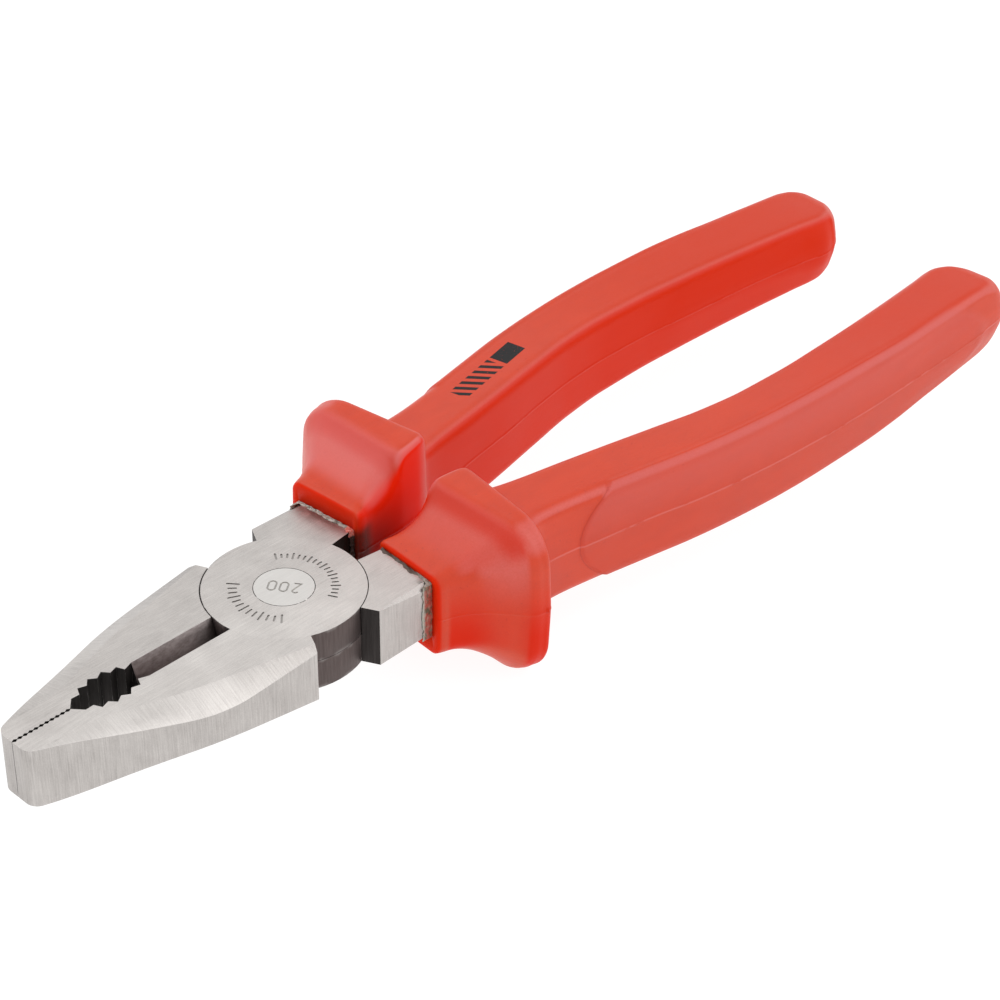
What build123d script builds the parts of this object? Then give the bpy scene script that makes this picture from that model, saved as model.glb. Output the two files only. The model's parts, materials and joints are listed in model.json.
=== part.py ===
from build123d import *
from math import cos, radians, sin
import os

# Combination pliers, 8 inch class: two identical lap-joint forgings turning on a flush rivet,
# each tang bonded into a moulded grip. Millimetres. +X runs from the pivot to the nose, +Z is
# the pivot axis. Every piece is drawn about the lap plane and lifted by HALF_THICK at the end,
# so that the origin is the centre of the rivet's lower flush face.

# head
HALF_THICK = 5.3        # half the thickness of the forged head
DISC_R = 13.0           # lap discs round the pivot
DISC_GAP = 0.15         # radial gap between a disc and the pocket of the other half
LAP_GAP = 0.04          # half the axial gap between the two lap discs
NOSE_X = 52.3           # front face of the nose
JAW_GAP = 0.05          # half the gap left between the closed jaws
HEEL_WALL_Y = 15.05     # side wall of a jaw at its heel
KNEE_X = 24.3           # where the side wall turns in towards the nose
KNEE_Y = 14.25
NOSE_CORNER_Y = 3.45    # side wall produced to the nose face, before rounding
NOSE_ROUND = 2.3
HEEL_ANGLE = 66.8       # end of the jaw on the disc, seen from the pivot
SHOULDER_ANGLE = 111.5  # start of the tang on the disc

# side cutter and pipe grip
CUTTER_END_X = 28.6
CUTTER_OPEN_Y = 2.15    # half width of the cutter's V groove at the faces
PIPE_X = 34.6           # centre of the toothed arc of one jaw
PIPE_Y = -5.3
PIPE_VALLEY_R = 9.0
PIPE_TIP_R = 8.1
PIPE_FIRST_ANGLE = 51.5
PIPE_STEP_ANGLE = 15.75
PIPE_TEETH = 5
GRIP_START_X = 41.7     # flat gripping faces run from here to the nose
GRIP_TEETH = 11
GRIP_TOOTH_DEPTH = 0.28

# rivet
RIVET_R = 3.5
RIVET_HEAD_R = 4.9
RIVET_HEAD_H = 1.4
RUNNING_GAP = 0.05
RIM_BREAK = 0.12        # broken edge that shows as a fine circle round each head
MARK_R = 8.0            # circle of the stamp marks round the rivet
MARK_WIDTH = 0.32
MARK_DEPTH = 0.12
MARK_TURN = -55.0       # the number reads from between the nose and the lower half's jaw

# tang and grip
EDGE_EASE_X = -6.4      # from here the tang's outer edges are eased more and more
EDGE_EASE_END_X = -24.0
EDGE_EASE = 1.9         # depth of the easing at its far end
HANDLE_CORNER = 2.2     # radius of the handle's four long edges
END_LENGTH = 7.5        # length of the handle's rounded end
END_CENTRE_D = 20.4     # its tip lies this far from the tool's middle plane
BEAD_LENGTH = 2.7       # how far the adhesive reaches forward from the mouth
BEAD_SIZE = (13.1, 11.7)


def polar(radius, angle, centre=(0, 0)):
    """Point at a radius and an angle in degrees from a centre."""
    return (centre[0] + radius * cos(radians(angle)), centre[1] + radius * sin(radians(angle)))


def pipe_grip_points():
    """Zigzag of the toothed arc in one jaw, from the cutter towards the nose."""
    points = []
    for tooth in reversed(range(PIPE_TEETH)):
        valley = PIPE_FIRST_ANGLE + PIPE_STEP_ANGLE * tooth
        points.append(polar(PIPE_TIP_R, valley + PIPE_STEP_ANGLE / 2, (PIPE_X, PIPE_Y)))
        points.append(polar(PIPE_VALLEY_R, valley, (PIPE_X, PIPE_Y)))
    return points


def flat_grip_points():
    """Fine teeth of one jaw from the toothed arc to the nose face."""
    pitch = (NOSE_X - GRIP_START_X) / GRIP_TEETH
    points = []
    for tooth in range(GRIP_TEETH):
        start = GRIP_START_X + tooth * pitch
        points.append((start, JAW_GAP))
        points.append((start + pitch / 2, JAW_GAP + GRIP_TOOTH_DEPTH))
    points.append((NOSE_X, JAW_GAP))
    return points


def bevel_corners(x, face_y, slope):
    """Triangle that cuts the sloping facet beside a jaw's flat face at one station."""
    inner = (face_y - 1.5, HALF_THICK + 1.5 * slope)
    outer = (face_y + 7.0, HALF_THICK - 7.0 * slope)
    return [inner, outer, (face_y + 7.0, HALF_THICK + 1.5 * slope + 1.0)]


# station along the jaw, where the facet leaves the flat face, and its fall per millimetre
BEVEL_STATIONS = [
    (3.0, 14.61, 0.62),
    (10.0, 12.98, 0.62),
    (17.0, 11.36, 0.62),
    (24.0, 9.72, 0.62),
    (31.0, 7.60, 0.54),
    (38.0, 5.20, 0.38),
    (45.0, 3.90, 0.20),
    (55.0, 1.80, 0.04),
]


def jaw_bevel(side):
    """Cutter for the facet beside the upper (side 1) or lower (side -1) face of a jaw."""
    with BuildPart() as cutter:
        for x, face_y, slope in BEVEL_STATIONS:
            with BuildSketch(Plane.YZ.offset(x)):
                corners = [(y, side * z) for y, z in bevel_corners(x, face_y, slope)]
                Polygon(*corners, align=None)
        loft()
    return cutter.part


def jaw():
    """One jaw at full thickness, y > 0, before the lap disc is cut and added."""
    with BuildPart() as piece:
        with BuildSketch(Plane.XY.offset(-HALF_THICK)):
            with BuildLine():
                inner = [(DISC_R * 0.6, JAW_GAP), (CUTTER_END_X, JAW_GAP), (CUTTER_END_X, CUTTER_OPEN_Y)]
                Polyline(*inner, *pipe_grip_points(), *flat_grip_points())
                FilletPolyline(
                    (NOSE_X, JAW_GAP),
                    (NOSE_X, NOSE_CORNER_Y),
                    (KNEE_X, KNEE_Y),
                    (6.65, HEEL_WALL_Y),
                    polar(DISC_R * 0.9, HEEL_ANGLE),
                    radius=[NOSE_ROUND, 34.0, 0.25],
                )
                Line(polar(DISC_R * 0.9, HEEL_ANGLE), (DISC_R * 0.6, JAW_GAP))
            make_face()
        extrude(amount=2 * HALF_THICK)
        for side in (1, -1):
            add(jaw_bevel(side), mode=Mode.SUBTRACT)
            with BuildSketch(Plane.YZ.offset(6.0)):
                flank = [(JAW_GAP, 0), (CUTTER_OPEN_Y, side * HALF_THICK)]
                Polygon(*flank, (CUTTER_OPEN_Y, side * 6), (-1, side * 6), (-1, 0), align=None)
            extrude(amount=CUTTER_END_X - 6.0, mode=Mode.SUBTRACT)
    return piece.part


def tang():
    """Tang of one half, y < 0: full thickness at the head, thinner inside the grip."""
    with BuildPart() as piece:
        with BuildSketch(Plane.XY.offset(-HALF_THICK)):
            with BuildLine():
                start = polar(DISC_R * 0.9, -SHOULDER_ANGLE)
                Polyline(start, (-6.35, -14.85), (-15.2, -15.35))
                Spline((-15.2, -15.35), (-32, -16.6), (-50, -18.9), (-78, -23.6), (-105, -25.2), (-138, -23.6))
                ThreePointArc((-138, -23.6), (-141.5, -20.3), (-138, -17.0))
                Spline((-138, -17.0), (-105, -18.4), (-78, -16.4), (-50, -11.4), (-32, -7.4), (-17.5, -3.5))
                Polyline((-17.5, -3.5), (-11.8, -2.8), start)
            make_face()
        extrude(amount=2 * HALF_THICK)
        with BuildSketch(Plane.XZ.offset(-1)):
            with BuildLine():
                Polyline((0, 6), (0, -6), (-22, -6), (-22, -5.3), (-60, -3.9), (-145, -3.0))
                Line((-145, -3.0), (-145, 3.0))
                Polyline((-145, 3.0), (-60, 3.9), (-22, 5.3), (-22, 6), (0, 6))
            make_face()
        extrude(amount=30, mode=Mode.INTERSECT)
        for side in (1, -1):
            add(edge_ease(side), mode=Mode.SUBTRACT)
    return piece.part


def edge_ease(side):
    """Cutter that eases the upper (side 1) or lower (side -1) outer edge of a tang."""
    corners = [(EDGE_EASE_X, -14.85, 0.02), (EDGE_EASE_END_X, -15.9, EDGE_EASE)]
    with BuildPart() as cutter:
        for x, y, size in corners:
            with BuildSketch(Plane.YZ.offset(x)):
                across = (y + 1.3 * size, side * (HALF_THICK + 0.1 * size))
                down = (y - 0.3 * size, side * (HALF_THICK - size))
                Polygon(across, down, (y - 1.5 * size, side * (HALF_THICK + size)), align=None)
        loft()
    return cutter.part


def forged_half(bore_r, head_bore_r, head_bore_h):
    """Jaw, upper lap disc and tang in one forging, with the rivet's bore."""
    with BuildPart() as half:
        add(jaw())
        add(tang())
        with BuildSketch(Plane.XY.offset(-HALF_THICK - 1)):
            Circle(DISC_R + DISC_GAP)
        extrude(amount=HALF_THICK + 1 + LAP_GAP, mode=Mode.SUBTRACT)
        with BuildSketch(Plane.XY.offset(LAP_GAP)):
            Circle(DISC_R)
        extrude(amount=HALF_THICK - LAP_GAP)
        Cylinder(bore_r, 4 * HALF_THICK, mode=Mode.SUBTRACT)
        with BuildSketch(Plane.XY.offset(HALF_THICK - head_bore_h)):
            Circle(head_bore_r)
        extrude(amount=head_bore_h, mode=Mode.SUBTRACT)
    return half.part


def stamp_row(first, last, count, length):
    """Row of short radial stamp marks round the pivot, every third one longer."""
    for index in range(count):
        angle = first + (last - first) * index / (count - 1)
        stretch = 1.0 if index % 3 else 1.45
        with Locations(Location((*polar(MARK_R, angle), 0), angle)):
            SlotOverall(length * stretch, MARK_WIDTH)


def stamped_half():
    """Half with the upper lap disc, stamped with two rows of marks round the rivet."""
    with BuildPart() as half:
        add(forged_half(RIVET_R, RIVET_HEAD_R, RIVET_HEAD_H))
        with BuildSketch(Plane.XY.offset(HALF_THICK)):
            stamp_row(-50, 46, 13, 1.5)
            stamp_row(118, 238, 19, 1.15)
        extrude(amount=-MARK_DEPTH, mode=Mode.SUBTRACT)
    return half.part


def rivet():
    """Solid pin with two flush heads; the upper one carries the size number."""
    with BuildPart() as pin:
        Cylinder(RIVET_R, 2 * HALF_THICK)
        with BuildSketch(Plane.XY.offset(HALF_THICK - RIVET_HEAD_H)):
            Circle(RIVET_HEAD_R)
        extrude(amount=RIVET_HEAD_H)
        with BuildSketch(Plane.XY.offset(-HALF_THICK)):
            Circle(RIVET_HEAD_R)
        extrude(amount=RIVET_HEAD_H)
        rims = pin.edges().filter_by(GeomType.CIRCLE).filter_by_position(Axis.Z, HALF_THICK, HALF_THICK)
        rims += pin.edges().filter_by(GeomType.CIRCLE).filter_by_position(Axis.Z, -HALF_THICK, -HALF_THICK)
        chamfer(rims, RIM_BREAK)
        with BuildSketch(Plane.XY.offset(HALF_THICK)):
            size_number()
        extrude(amount=-MARK_DEPTH, mode=Mode.SUBTRACT)
    return pin.part


def size_number():
    """Nominal length in millimetres, 200, read from the front side of the tool."""
    with BuildSketch() as digits:
        for x in (0.0, 1.9):
            with Locations(Location((x, 0, 0), 90)):
                SlotOverall(2.6, 1.5)
                SlotOverall(2.0, 0.9, mode=Mode.SUBTRACT)
        with BuildLine() as stroke:
            bow = CenterArc((-1.95, 0.72), 0.45, 160, -195)
            Polyline(bow @ 1, (-2.5, -1.15), (-1.4, -1.15))
        trace(line_width=0.3)
    add(digits.sketch, rotation=MARK_TURN)


def guard_plane(x, inner, outer, tilt):
    """Plane of one guard section: its local X runs outwards, away from the other grip."""
    middle = (inner + outer) / 2
    across = (sin(radians(tilt)), -cos(radians(tilt)), 0)
    along = (-cos(radians(tilt)), -sin(radians(tilt)), 0)
    return Plane(origin=(x, -middle, 0), x_dir=across, z_dir=along)


# guard sections: x, inner and outer distance from the tool's middle plane, half height, height of
# the middle above the lap plane, radius of the inner and outer corners, tilt in degrees
GUARD_SECTIONS = [
    (-17.3, 2.4, 17.4, 7.7, 1.1, 1.2, 2.0, 4.2),
    (-19.8, 2.7, 18.4, 8.1, 0.85, 2.4, 2.8, 3.4),
    (-23.6, 3.1, 21.8, 9.9, 0.6, 4.0, 4.6, 1.8),
    (-27.0, 3.1, 26.0, 12.7, 0.6, 3.7, 6.2, 0.4),
    (-29.2, 3.2, 27.5, 14.5, 0.7, 1.7, 7.6, 0.8),
    (-32.2, 3.9, 27.9, 14.6, 0.7, 1.3, 7.8, 7.0),
    (-33.5, 4.9, 27.0, 13.8, 0.7, 1.8, 7.2, 8.6),
]

# handle sections: x, inner and outer edge of the flat face, inner and outer half height at
# those edges, inner and outer crest of the rounded flanks
HANDLE_SECTIONS = [
    (-29.5, 7.3, 18.4, 9.5, 9.4, 6.8, 18.8),
    (-50.0, 9.1, 20.6, 9.4, 9.3, 8.9, 21.5),
    (-70.0, 12.9, 24.4, 9.0, 9.3, 12.7, 25.3),
    (-90.0, 15.6, 26.5, 8.3, 9.3, 15.2, 27.7),
    (-110.0, 15.4, 26.8, 7.8, 9.0, 14.3, 28.5),
    (-130.0, 14.0, 26.1, 7.4, 8.2, 12.9, 28.0),
    (-147.0, 12.8, 24.6, 7.0, 7.5, 10.1, 27.4),
]


def handle_section(x, top_in, top_out, z_in, z_out, crest_in, crest_out, corner=HANDLE_CORNER):
    """Six-sided section of the handle with rounded corners and crested flanks."""
    with BuildSketch(Plane.YZ.offset(x)) as section:
        upper = [(-crest_in, 0), (-top_in, z_in), (-top_out, z_out), (-crest_out, 0)]
        lower = [(-top_out, -z_out), (-top_in, -z_in)]
        outline = Polygon(*upper, *lower, align=None)
        fillet([v for v in outline.vertices() if abs(v.Y) > 0.1], corner)
    return section.sketch


def rounded_end():
    """Last handle section repeated, shrinking towards the tip over the rounded end."""
    x, top_in, top_out, z_in, z_out, crest_in, crest_out = HANDLE_SECTIONS[-1]
    sections = []
    for angle in (0, 28, 50, 67, 79, 86):
        share = cos(radians(angle))
        edges = [END_CENTRE_D + (d - END_CENTRE_D) * share for d in (top_in, top_out, crest_in, crest_out)]
        sections.append(handle_section(
            x - END_LENGTH * sin(radians(angle)),
            edges[0],
            edges[1],
            z_in * share,
            z_out * share,
            edges[2],
            edges[3],
            HANDLE_CORNER * share,
        ))
    return sections


def guard_section(x, inner, outer, half_z, above, corner_in, corner_out, tilt):
    """Rounded rectangle of the guard on its tilted plane."""
    with BuildSketch(guard_plane(x, inner, outer, tilt)) as section:
        with Locations((0, above)):
            outline = Rectangle(outer - inner, 2 * half_z)
        fillet(outline.vertices().filter_by(lambda v: v.X < 0), corner_in)
        fillet(section.vertices().group_by(Axis.X)[-1], corner_out)
    return section.sketch


def grip():
    """Moulded grip of the y < 0 tang: flared guard at the head, long bowed handle behind it."""
    with BuildPart() as body:
        loft([guard_section(*station) for station in GUARD_SECTIONS])
        loft([handle_section(*station) for station in HANDLE_SECTIONS])
        loft(rounded_end(), ruled=True)
        add(tang(), mode=Mode.SUBTRACT)
    return body.part


def adhesive_bead():
    """Thin squeezed-out ring of adhesive round the tang, against the mouth of the grip."""
    x, inner, outer, _, _, _, _, tilt = GUARD_SECTIONS[0]
    with BuildPart() as bead:
        with BuildSketch(guard_plane(x, inner, outer, tilt)):
            with Locations((-0.5, 0)):
                RectangleRounded(*BEAD_SIZE, 0.6)
        extrude(amount=-BEAD_LENGTH)
        add(tang(), mode=Mode.SUBTRACT)
    return bead.part


half_a = stamped_half()
half_b = forged_half(RIVET_R + RUNNING_GAP, RIVET_HEAD_R + RUNNING_GAP, RIVET_HEAD_H + RUNNING_GAP)
grip_a = grip()
bead_a = adhesive_bead()

pieces = {
    "forged_half_upper": half_a,
    "forged_half_lower": half_b.rotate(Axis.X, 180),
    "pivot_rivet": rivet(),
    "grip_upper_half": grip_a,
    "grip_lower_half": grip_a.rotate(Axis.X, 180),
    "mouth_adhesive_upper_half": bead_a,
    "mouth_adhesive_lower_half": bead_a.rotate(Axis.X, 180),
}

os.makedirs("parts", exist_ok=True)
for name, piece in pieces.items():
    lifted = piece.translate((0, 0, HALF_THICK))
    lifted.label = name
    export_step(lifted, f"parts/{name}.step")
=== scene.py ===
import json
import math

import bpy
import numpy as np
from mathutils import Matrix, Vector, noise


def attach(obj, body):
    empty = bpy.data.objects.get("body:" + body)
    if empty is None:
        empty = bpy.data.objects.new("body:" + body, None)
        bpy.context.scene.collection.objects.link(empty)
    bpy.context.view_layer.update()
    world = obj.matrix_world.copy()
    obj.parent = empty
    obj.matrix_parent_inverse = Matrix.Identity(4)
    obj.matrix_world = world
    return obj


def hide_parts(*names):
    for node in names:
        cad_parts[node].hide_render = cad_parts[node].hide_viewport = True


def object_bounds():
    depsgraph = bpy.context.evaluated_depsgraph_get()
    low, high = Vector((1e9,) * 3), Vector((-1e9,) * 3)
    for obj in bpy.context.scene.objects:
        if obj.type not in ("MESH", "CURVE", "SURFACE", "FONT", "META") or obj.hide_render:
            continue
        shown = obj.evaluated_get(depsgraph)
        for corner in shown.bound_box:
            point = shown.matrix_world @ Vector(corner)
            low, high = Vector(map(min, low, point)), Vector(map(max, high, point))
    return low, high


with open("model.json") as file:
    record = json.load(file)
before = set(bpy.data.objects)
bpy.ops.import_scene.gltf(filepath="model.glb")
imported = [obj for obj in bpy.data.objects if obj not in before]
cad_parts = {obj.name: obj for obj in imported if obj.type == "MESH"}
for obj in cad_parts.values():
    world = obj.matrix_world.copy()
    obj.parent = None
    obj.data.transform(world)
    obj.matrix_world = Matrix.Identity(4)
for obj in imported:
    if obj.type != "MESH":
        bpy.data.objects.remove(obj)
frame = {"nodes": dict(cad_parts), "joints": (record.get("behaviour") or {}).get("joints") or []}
cad_low, cad_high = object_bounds()

# Combination pliers. Lengths are in millimetres and are turned into metres by place(). The grips
# and the adhesive are drawn as they lie on the upper half, with x along the tool, d outwards from
# its middle plane and z up from the lap plane. For the lower half place() turns them over, so that
# what is drawn on top lies underneath there.

MM = 0.001
PIVOT = Vector(frame["joints"][0]["pos_m"])
LAP_Z = PIVOT.z / MM                    # height of the lap plane, half the head's thickness
SIDES = {"upper_half": -1, "lower_half": 1}
SIDE_WORDS = {"upper_half": "upper", "lower_half": "lower"}
WHITE = (1.0, 1.0, 1.0)


def place(points, side):
    """Points (x, d, z) as drawn, moved to their own half in the row frame, in metres."""
    x, d, z = np.asarray(points, float).T
    return np.stack([x, side * d, LAP_Z - side * z], 1) * MM


# ---------------------------------------------------------------- meshes


def mesh_object(name, points, faces, smooth=True):
    """New object with this mesh, linked to the scene."""
    mesh = bpy.data.meshes.new(name)
    mesh.from_pydata([tuple(p) for p in points], [], faces)
    mesh.validate()
    mesh.update()
    for polygon in mesh.polygons:
        polygon.use_smooth = smooth
    piece = bpy.data.objects.new(name, mesh)
    bpy.context.scene.collection.objects.link(piece)
    return piece


def rounded_outline(corners, radii, steps=12):
    """Closed outline with rounded corners, and the index of the middle point of each corner."""
    points, middles = [], []
    count = len(corners)
    for index in range(count):
        here = np.array(corners[index], float)
        to_last = np.array(corners[index - 1], float) - here
        to_next = np.array(corners[(index + 1) % count], float) - here
        room = 0.48 * min(np.linalg.norm(to_last), np.linalg.norm(to_next))
        to_last /= np.linalg.norm(to_last)
        to_next /= np.linalg.norm(to_next)
        inside = math.acos(max(-1.0, min(1.0, float(to_last @ to_next))))
        tangent = min(room, radii[index] / math.tan(inside / 2))
        start = here + to_last * tangent
        end = here + to_next * tangent
        middles.append(len(points) + steps // 2)
        half_turn = (math.pi - inside) / 2
        weight = math.cos(half_turn)
        for step in range(steps + 1):
            t = step / steps
            a, b, c = (1 - t) ** 2, 2 * t * (1 - t) * weight, t ** 2
            points.append((a * start + b * here + c * end) / (a + b + c))
    return np.array(points), middles


def even_ring(corners, radii, per_span):
    """The outline again, with the same number of points between the middles of its corners. They
    lie closer together towards the corners."""
    points, middles = rounded_outline(corners, radii)
    ring = []
    for index, first in enumerate(middles):
        last = middles[(index + 1) % len(middles)]
        if last > first:
            run = points[first:last + 1]
        else:
            run = np.concatenate([points[first:], points[:last + 1]])
        length = np.concatenate([[0], np.cumsum(np.linalg.norm(np.diff(run, axis=0), axis=1))])
        share = (1 - np.cos(np.pi * np.arange(per_span) / per_span)) / 2
        at = (0.6 * share + 0.4 * np.arange(per_span) / per_span) * length[-1]
        ring.append(np.stack([np.interp(at, length, run[:, k]) for k in range(run.shape[1])], 1))
    return np.concatenate(ring)


def tube_faces(rings, per_ring, closed_ends=False):
    """Quads between rings that follow each other, with end caps if asked."""
    faces = []
    for r in range(rings - 1):
        for k in range(per_ring):
            a = r * per_ring + k
            b = r * per_ring + (k + 1) % per_ring
            faces.append((a, b, b + per_ring, a + per_ring))
    if closed_ends:
        last = (rings - 1) * per_ring
        faces.append(tuple(reversed(range(per_ring))))
        faces.append(tuple(last + k for k in range(per_ring)))
    return faces


def smooth_rows(rows, spacing):
    """Rows of a table joined by smooth curves without overshoot, about one spacing apart."""
    rows = np.array(rows, float)
    move = np.abs(np.diff(rows[:, :7], axis=0)).max(1)
    t = np.concatenate([[0], np.cumsum(move)])
    step = np.diff(t)
    slope = np.diff(rows, axis=0) / step[:, None]
    tangent = np.zeros_like(rows)
    for i in range(1, len(rows) - 1):
        a, b = slope[i - 1], slope[i]
        w1, w2 = 2 * step[i] + step[i - 1], step[i] + 2 * step[i - 1]
        same = a * b > 0
        safe_a, safe_b = np.where(same, a, 1), np.where(same, b, 1)
        tangent[i] = np.where(same, (w1 + w2) / (w1 / safe_a + w2 / safe_b), 0)
    tangent[0], tangent[-1] = slope[0], slope[-1]
    at = np.linspace(0, t[-1], int(t[-1] / spacing) + 1)
    found = []
    for value in at:
        i = min(np.searchsorted(t, value, side="right") - 1, len(step) - 1)
        u = (value - t[i]) / step[i]
        found.append(
            (2 * u ** 3 - 3 * u ** 2 + 1) * rows[i]
            + (u ** 3 - 2 * u ** 2 + u) * step[i] * tangent[i]
            + (3 * u ** 2 - 2 * u ** 3) * rows[i + 1]
            + (u ** 3 - u ** 2) * step[i] * tangent[i + 1]
        )
    return np.array(found)


# ---------------------------------------------------------------- grips

# Sections of the outside: x of the section's middle, inner and outer edge of the top face, half
# height at those edges, inner and outer crest, corner radii at the inner and outer top edge, radius
# at the crests, how far the section leans back towards its inner side in degrees, and how far its
# middle lies above the lap plane: the mouth is thicker on one side of the tang than on the other.
GRIP_SECTIONS = [
    # x, top_in, top_out, z_in, z_out, crest_in, crest_out, r_in, r_out, r_crest, lean, above
    # lip round the mouth
    (-17.3, 3.0, 16.2, 7.0, 7.0, 2.95, 16.3, 1.0, 1.4, 20.0, 4.2, 1.1),
    (-17.35, 2.65, 16.7, 7.4, 7.4, 2.6, 16.85, 1.2, 1.8, 20.0, 4.2, 1.15),
    (-17.6, 2.45, 17.0, 7.65, 7.65, 2.4, 17.2, 1.3, 2.1, 20.0, 4.2, 1.15),
    (-18.2, 2.4, 17.3, 7.8, 7.8, 2.35, 17.5, 1.7, 2.3, 20.0, 4.0, 1.1),
    # flare
    (-19.8, 2.75, 18.1, 8.1, 8.1, 2.65, 18.4, 2.5, 2.8, 22.0, 3.4, 0.85),
    (-21.6, 3.05, 19.3, 8.75, 8.75, 2.95, 19.8, 3.4, 3.6, 24.0, 2.6, 0.65),
    (-23.6, 3.15, 21.0, 9.85, 9.85, 3.05, 21.8, 4.2, 4.6, 26.0, 1.8, 0.55),
    (-25.5, 3.2, 23.0, 11.2, 11.2, 3.05, 24.2, 4.5, 5.2, 28.0, 1.0, 0.55),
    (-27.0, 3.2, 24.9, 12.6, 12.6, 3.0, 26.1, 3.9, 5.8, 30.0, 0.4, 0.6),
    (-28.0, 3.2, 26.0, 13.75, 13.7, 3.0, 27.1, 2.8, 6.6, 30.0, 0.2, 0.65),
    # rim, almost flat between its front corner and its rear edge
    (-28.6, 3.25, 26.4, 14.1, 14.05, 3.05, 27.4, 2.1, 7.2, 30.0, 0.0, 0.65),
    (-29.2, 3.35, 26.6, 14.3, 14.25, 3.15, 27.5, 1.7, 7.6, 30.0, 0.8, 0.65),
    (-30.8, 3.7, 26.7, 14.4, 14.35, 3.5, 27.6, 1.4, 8.0, 30.0, 4.0, 0.7),
    (-32.2, 4.15, 26.9, 14.45, 14.45, 3.95, 27.7, 1.3, 8.0, 30.0, 7.0, 0.7),
    (-32.8, 4.4, 26.8, 14.35, 14.35, 4.2, 27.6, 1.4, 8.0, 30.0, 8.0, 0.7),
    (-33.2, 4.65, 26.5, 14.05, 14.05, 4.4, 27.3, 1.6, 7.8, 30.0, 8.4, 0.7),
    (-33.45, 4.9, 26.0, 13.55, 13.55, 4.6, 26.8, 1.9, 7.4, 30.0, 8.6, 0.7),
    (-33.6, 5.05, 25.4, 13.0, 13.0, 4.75, 26.1, 2.1, 7.0, 28.0, 8.6, 0.7),
    # hollow behind the rim
    (-34.1, 5.35, 23.4, 12.0, 11.9, 4.95, 24.3, 2.3, 4.8, 18.0, 8.0, 0.6),
    (-34.8, 5.7, 21.2, 10.9, 10.7, 5.2, 22.0, 2.4, 3.2, 9.0, 6.0, 0.4),
    (-36.0, 6.2, 19.5, 9.9, 9.8, 5.65, 20.2, 2.4, 2.4, 4.0, 3.5, 0.2),
    (-38.2, 6.9, 19.0, 9.6, 9.5, 6.35, 19.5, 2.3, 2.2, 2.6, 1.0, 0.05),
    (-41.0, 7.6, 19.2, 9.5, 9.4, 7.2, 19.7, 2.2, 2.2, 2.4, 0.0, 0.0),
    # handle
    (-50.0, 9.1, 20.6, 9.4, 9.3, 9.2, 21.1, 2.3, 2.3, 12.0, 0.0, 0.0),
    (-60.0, 11.0, 22.6, 9.2, 9.3, 10.9, 22.7, 2.3, 2.3, 12.0, 0.0, 0.0),
    (-70.0, 12.9, 24.4, 9.0, 9.3, 13.0, 24.8, 2.3, 2.3, 12.0, 0.0, 0.0),
    (-80.0, 14.7, 25.7, 8.65, 9.3, 14.6, 26.2, 2.3, 2.3, 12.0, 0.0, 0.0),
    (-90.0, 15.6, 26.5, 8.3, 9.3, 15.3, 27.1, 2.3, 2.3, 12.0, 0.0, 0.0),
    (-100.0, 15.7, 26.8, 8.0, 9.2, 15.2, 27.6, 2.3, 2.3, 12.0, 0.0, 0.0),
    (-110.0, 15.4, 26.8, 7.8, 9.0, 14.4, 27.8, 2.3, 2.3, 12.0, 0.0, 0.0),
    (-120.0, 14.8, 26.7, 7.6, 8.6, 13.8, 27.6, 2.3, 2.3, 12.0, 0.0, 0.0),
    (-130.0, 14.0, 26.1, 7.4, 8.2, 13.0, 27.3, 2.3, 2.3, 12.0, 0.0, 0.0),
    (-140.0, 13.2, 25.2, 7.2, 7.8, 11.6, 27.2, 2.3, 2.3, 12.0, 0.0, 0.0),
    (-146.0, 12.8, 24.7, 7.0, 7.5, 10.2, 27.1, 2.3, 2.3, 12.0, 0.0, 0.0),
    # rounded end
    (-149.0, 13.2, 24.5, 6.75, 7.2, 11.2, 26.7, 3.0, 3.0, 9.0, 0.0, 0.0),
    (-151.3, 14.2, 24.1, 6.1, 6.5, 12.8, 26.1, 3.6, 3.6, 7.0, 0.0, 0.0),
    (-152.9, 15.6, 23.4, 5.1, 5.4, 14.6, 25.0, 3.6, 3.6, 5.0, 0.0, 0.0),
    (-153.8, 17.1, 22.6, 3.8, 4.0, 16.4, 23.8, 2.7, 2.7, 3.4, 0.0, 0.0),
    (-154.2, 18.6, 21.7, 2.4, 2.5, 18.1, 22.5, 1.5, 1.5, 2.0, 0.0, 0.0),
    (-154.4, 20.0, 20.9, 0.9, 0.9, 19.7, 21.3, 0.4, 0.4, 0.6, 0.0, 0.0),
]
RING_SPACING = 0.42
POINTS_PER_SPAN = 26

# Raised panel on the outer flank, between two arcs, and the parting line on both flanks. On the
# outer flank the line has a nub where it crosses the guard's rim.
PANEL_NEAR_X = -45.6
PANEL_NEAR_BOW = 6.0
PANEL_FAR_X = -145.0
PANEL_FAR_BOW = 11.0
PANEL_HALF_Z = 8.6
PANEL_RAISE = 0.34
PANEL_STEP = 0.25                       # half the length over which the panel rises near the guard
PANEL_FADE = 2.0                        # the same at its far end
PANEL_THIN_X = (-112.0, -132.0)         # past here it thins out along its upper and lower edge
PANEL_THIN_Z = (3.5, 6.5)
PANEL_THIN_BY = 0.95
FLASH_RAISE = 0.11
NUB_X = -31.6
NUB_RAISE = 0.35

# Cavity for the tang: x, inner and outer side, half thickness. The mouth leans back towards its
# inner side, and the lean fades out behind it.
MOUTH_X = -17.3
MOUTH_LEAN = 4.2
LEAN_FROM_X = -22.0
CAVITY_CORNER = 0.05
SIDE_CREST = 0.01
TANG_SECTIONS = [
    (MOUTH_X, 3.48, 15.47, 5.3),
    (-22.0, 4.6, 15.8, 5.3),
    (-32.0, 7.4, 16.6, 4.93),
    (-50.0, 11.4, 18.9, 4.27),
    (-78.0, 16.4, 23.6, 3.72),
    (-105.0, 18.4, 25.2, 3.42),
    (-130.0, 17.5, 24.2, 3.15),
    (-138.0, 17.4, 23.2, 3.05),
    (-141.3, 19.6, 20.9, 3.0),
]


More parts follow.
